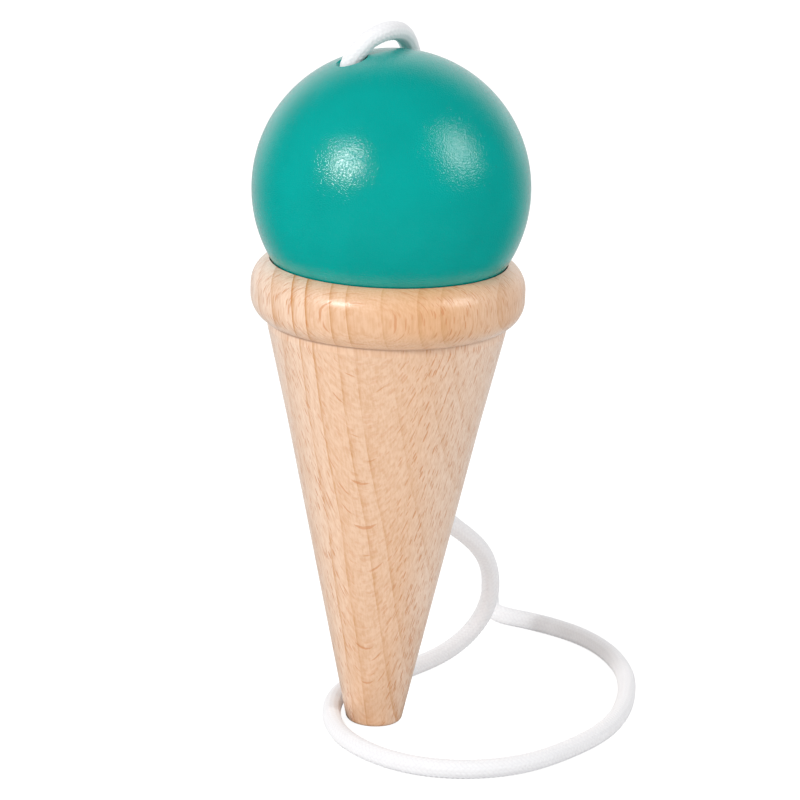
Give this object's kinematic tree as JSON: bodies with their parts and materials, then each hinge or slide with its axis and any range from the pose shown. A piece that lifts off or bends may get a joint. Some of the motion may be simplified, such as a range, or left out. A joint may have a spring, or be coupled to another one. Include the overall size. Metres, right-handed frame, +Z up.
{
  "type": "cup and ball toy",
  "caption": "Turned wooden cone with a cup in its mouth, a painted wooden ball resting on the cup's lip, and a white braided cord that ties the ball to the cone.",
  "frame": {"origin": "centre of the cone's flat tip, on the surface that the toy stands on", "axes": "+Z up along the cone's axis, -Y towards the side the picture is taken from, +X to its right"},
  "size_m": [0.0741, 0.1192, 0.1303],
  "materials": {
    "wood": "pale beech, turned and lacquered",
    "paint": "satin teal-green paint on wood",
    "cord": "white braid"
  },
  "bodies": {
    "cone": {"cone": "wood", "cone_knot": "cord", "cord_in_cone": "cord", "cord_loop": "cord"},
    "cord": {"cord_hang": "cord"},
    "ball": {"ball": "paint", "cord_in_ball": "cord", "ball_knot": "cord"}
  },
  "joints": [
    {"name": "ball_lift", "type": "slide", "parent": "cone", "child": "cord", "axis": [0, 0, 1], "range_m": [0, 0.04], "deforming": ["cord_hang"]},
    {"name": "ball_spin", "type": "hinge", "parent": "cord", "child": "ball", "pos_m": [0, 0, 0.10041], "axis": [-0.3096, -0.1006, 0.9455], "range_deg": [-180, 180]}
  ]
}
